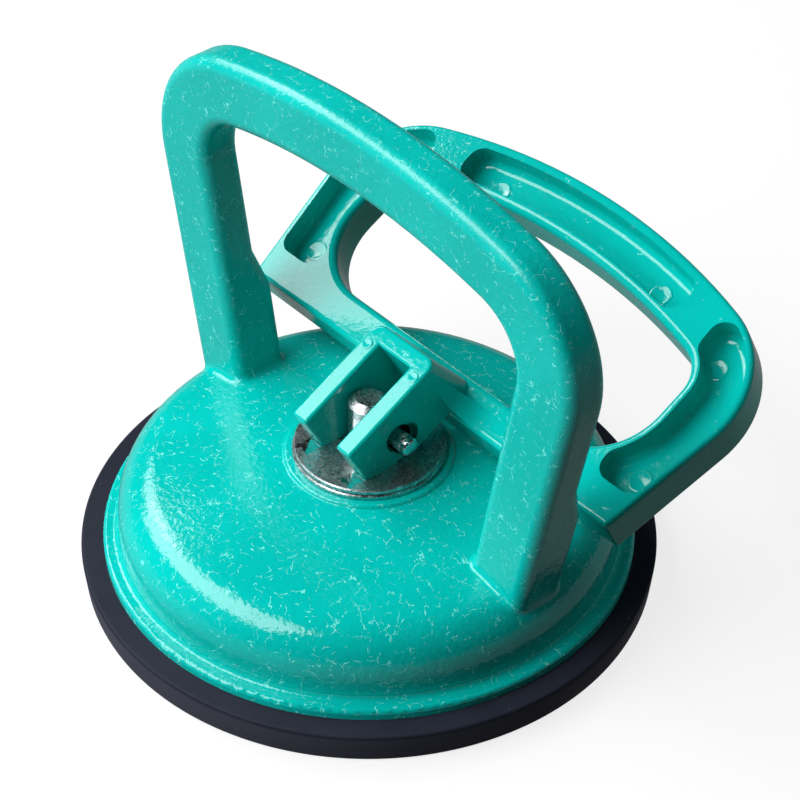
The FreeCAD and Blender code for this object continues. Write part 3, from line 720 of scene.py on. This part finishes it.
def ear_nose(side):
    """The square front foot of one ear; side is -1 for the left and 1 for the right."""
    bm = bmesh.new()
    size = Vector((EAR_OUT - EAR_IN, NOSE_BACK_S - EAR_FRONT_S, NOSE_TOP_N - NOSE_LOW_N))
    middle = Vector((side * (EAR_IN + EAR_OUT) / 2, (EAR_FRONT_S + NOSE_BACK_S) / 2,
                     (NOSE_TOP_N + NOSE_LOW_N) / 2))
    bmesh.ops.create_cube(bm, size=MM, matrix=lever_frame @ Matrix.Translation(middle * MM)
                          @ Matrix.Diagonal((*size, 1)))
    bmesh.ops.bisect_plane(bm, geom=bm.verts[:] + bm.edges[:] + bm.faces[:],
                           plane_co=(0, 0, PIN_AXIS_Z - FOOT_BELOW_PIN * MM),
                           plane_no=(0, 0, -1), clear_outer=True)
    bmesh.ops.holes_fill(bm, edges=[e for e in bm.edges if e.is_boundary])
    to_lever = lever_frame.inverted()
    front = [e for e in bm.edges
             if all((to_lever @ v.co).y < (EAR_FRONT_S + HAIR) * MM for v in e.verts)
             and min((to_lever @ v.co).z for v in e.verts) < (NOSE_TOP_N - HAIR) * MM]
    bmesh.ops.bevel(bm, geom=front, offset=EAR_ROUNDING * MM, affect="EDGES", segments=4,
                    profile=0.5, material=-1, offset_type="OFFSET")
    return bm


for side, word in ((-1, "left"), (1, "right")):
    finish_piece(word + "_ear_nose", ear_nose(side), "lever", lever_enamel)

# %% [markdown]
# ## Paint in the corners
# Thick enamel draws itself into every inside corner and leaves a small smooth
# hollow there: round the raised seat of the washers, and along the foot of the
# dome where it meets the flange. Each hollow is a lathe-turned ring that lies in
# the corner, its inner corner rounded.

# %% Paint hollows
FLANGE_HEIGHT, FLANGE_WIDTH = 2.2, 3.08
FLANGE_TOP = PAD_TOP + FLANGE_HEIGHT
FOOT_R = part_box("body_casting")[1][1] / MM - FLANGE_WIDTH
SEAT_R, SEAT_TOP = 17.4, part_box("backing_washer")[0][2] / MM


def paint_hollow(name, corner_r, corner_z, outline, **turning):
    """A ring of paint in an inside corner of the body; its outline counts from there."""
    rows = [(corner_r + r, corner_z + z, rounding) for r, z, rounding in outline]
    finish_piece(name, lathe(rows, **turning), "body", crackle_enamel,
                 sharp_above=50)


paint_hollow("seat_paint_hollow", SEAT_R, SEAT_TOP,
             [(-0.40, -0.30, 0), (0.02, -0.30, 0), (0.03, -0.63, 0.32), (1.1, -0.71, 0),
              (1.1, -0.90, 0), (-0.40, -0.90, 0)], corner_segments=5)
paint_hollow("foot_paint_hollow", FOOT_R, FLANGE_TOP,
             [(-0.5, 1.7, 0), (-0.07, 1.7, 0), (0.03, 0.02, 1.1), (1.75, 0.02, 0),
              (1.75, -0.2, 0), (-0.5, -0.2, 0)], steps=192, corner_segments=6)

# %% [markdown]
# ## The floor
# The tool stands on a plain pale sheet, large enough to fill low views. The
# camera sees it nearly white, with the tool's soft shadow on it, and mirror
# images see it dim. Light that bounces from it is kept darker than from real
# paper: a white floor would light the tool from below and take the shade out
# of the lever's pockets.

# %% Floor
PAPER_WHITE, BOUNCE_GREY = (0.90, 0.90, 0.90, 1), (0.10, 0.10, 0.10, 1)
SEEN_GLOW, MIRRORED_GLOW = 0.80, 0.18
FLOOR_HALF = 3.0
paper = bpy.data.materials.new("pale_paper")
paper.use_nodes = True
tree = paper.node_tree
matte = tree.nodes["Principled BSDF"]
matte.inputs["Roughness"].default_value = 0.9
matte.inputs["Specular IOR Level"].default_value = 0.1
glow = add(tree, "Emission", {"Color": (1, 1, 1, 1), "Strength": 1.0})
rays = add(tree, "LightPath", {}).outputs
mirrored = math_of(tree, "MAXIMUM", rays["Is Glossy Ray"], rays["Is Transmission Ray"])
share = math_of(tree, "ADD", math_of(tree, "MULTIPLY", rays["Is Camera Ray"], SEEN_GLOW),
                math_of(tree, "MULTIPLY", mirrored, MIRRORED_GLOW))
tree.links.new(mix_colour(tree, rays["Is Camera Ray"], BOUNCE_GREY, PAPER_WHITE),
               matte.inputs["Base Color"])
both = add(tree, "MixShader", {0: share, 1: matte.outputs["BSDF"], 2: glow.outputs["Emission"]})
tree.links.new(both.outputs["Shader"], tree.nodes["Material Output"].inputs["Surface"])

sheet = bmesh.new()
bmesh.ops.create_grid(sheet, x_segments=1, y_segments=1, size=FLOOR_HALF)
floor_mesh = bpy.data.meshes.new("paper_floor")
sheet.to_mesh(floor_mesh)
sheet.free()
floor_mesh.materials.append(paper)
floor = bpy.data.objects.new("paper_floor", floor_mesh)
bpy.context.scene.collection.objects.link(floor)
print("floor is", 2 * FLOOR_HALF, "metres across")
